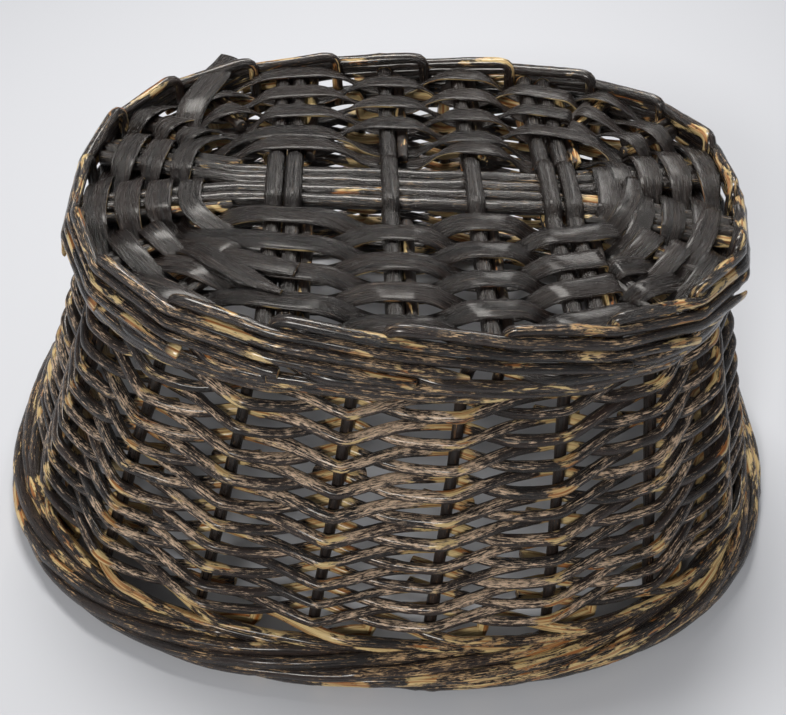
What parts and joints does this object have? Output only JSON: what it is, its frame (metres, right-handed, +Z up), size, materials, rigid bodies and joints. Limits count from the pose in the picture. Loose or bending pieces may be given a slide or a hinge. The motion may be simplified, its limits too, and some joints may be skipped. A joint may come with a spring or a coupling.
{
  "type": "oval wicker basket",
  "caption": "Oval stained wicker basket standing on its rim, with a woven stick-and-splint base, open paired weave sides, a foot border and a thick rolled rim.",
  "frame": {"origin": "middle of the flat underside of the rim, on the surface that the upturned basket stands on", "axes": "+X along the long axis of the oval, +Z up through the base of the upturned basket, +Y towards the back in the picture"},
  "size_m": [0.42, 0.35, 0.182],
  "materials": {
    "long_rod": "glossy dark stain worn to bare willow",
    "cross_stick": "satin dark brown stain",
    "splint": "satin grey-black stain over split willow",
    "stake": "matt dark stain",
    "weaver": "satin brown stain, dry-brushed with bare wood on the ridges",
    "foot_weave": "satin dark stain with amber worn patches",
    "rim_weave": "satin dark stain with amber and straw worn patches"
  },
  "bodies": {
    "root": {"base_cross_stick_1": "cross_stick", "base_cross_stick_2": "cross_stick", "base_cross_stick_3": "cross_stick", "base_cross_stick_4": "cross_stick", "base_cross_stick_5": "cross_stick", "base_cross_stick_6": "cross_stick", "base_long_rod_1": "long_rod", "base_long_rod_2": "long_rod", "base_long_rod_3": "long_rod", "base_long_rod_4": "long_rod", "base_splint_1": "splint", "base_splint_2": "splint", "base_splint_3": "splint", "base_splint_4": "splint", "base_splint_5": "splint", "base_splint_6": "splint", "base_splint_7": "splint", "base_splint_8": "splint", "foot_border": "foot_weave", "foot_wale": "foot_weave", "rim_border": "rim_weave", "rim_wale": "rim_weave", "side_stake_01": "stake", "side_stake_02": "stake", "side_stake_03": "stake", "side_stake_04": "stake", "side_stake_05": "stake", "side_stake_06": "stake", "side_stake_07": "stake", "side_stake_08": "stake", "side_stake_09": "stake", "side_stake_10": "stake", "side_stake_11": "stake", "side_stake_12": "stake", "side_stake_13": "stake", "side_stake_14": "stake", "side_stake_15": "stake", "side_stake_16": "stake", "side_stake_17": "stake", "side_stake_18": "stake", "side_stake_19": "stake", "side_stake_20": "stake", "side_weave_row_01": "weaver", "side_weave_row_02": "weaver", "side_weave_row_03": "weaver", "side_weave_row_04": "weaver", "side_weave_row_05": "weaver", "side_weave_row_06": "weaver", "side_weave_row_07": "weaver", "side_weave_row_08": "weaver", "side_weave_row_09": "weaver", "side_weave_row_10": "weaver"}
  },
  "joints": []
}
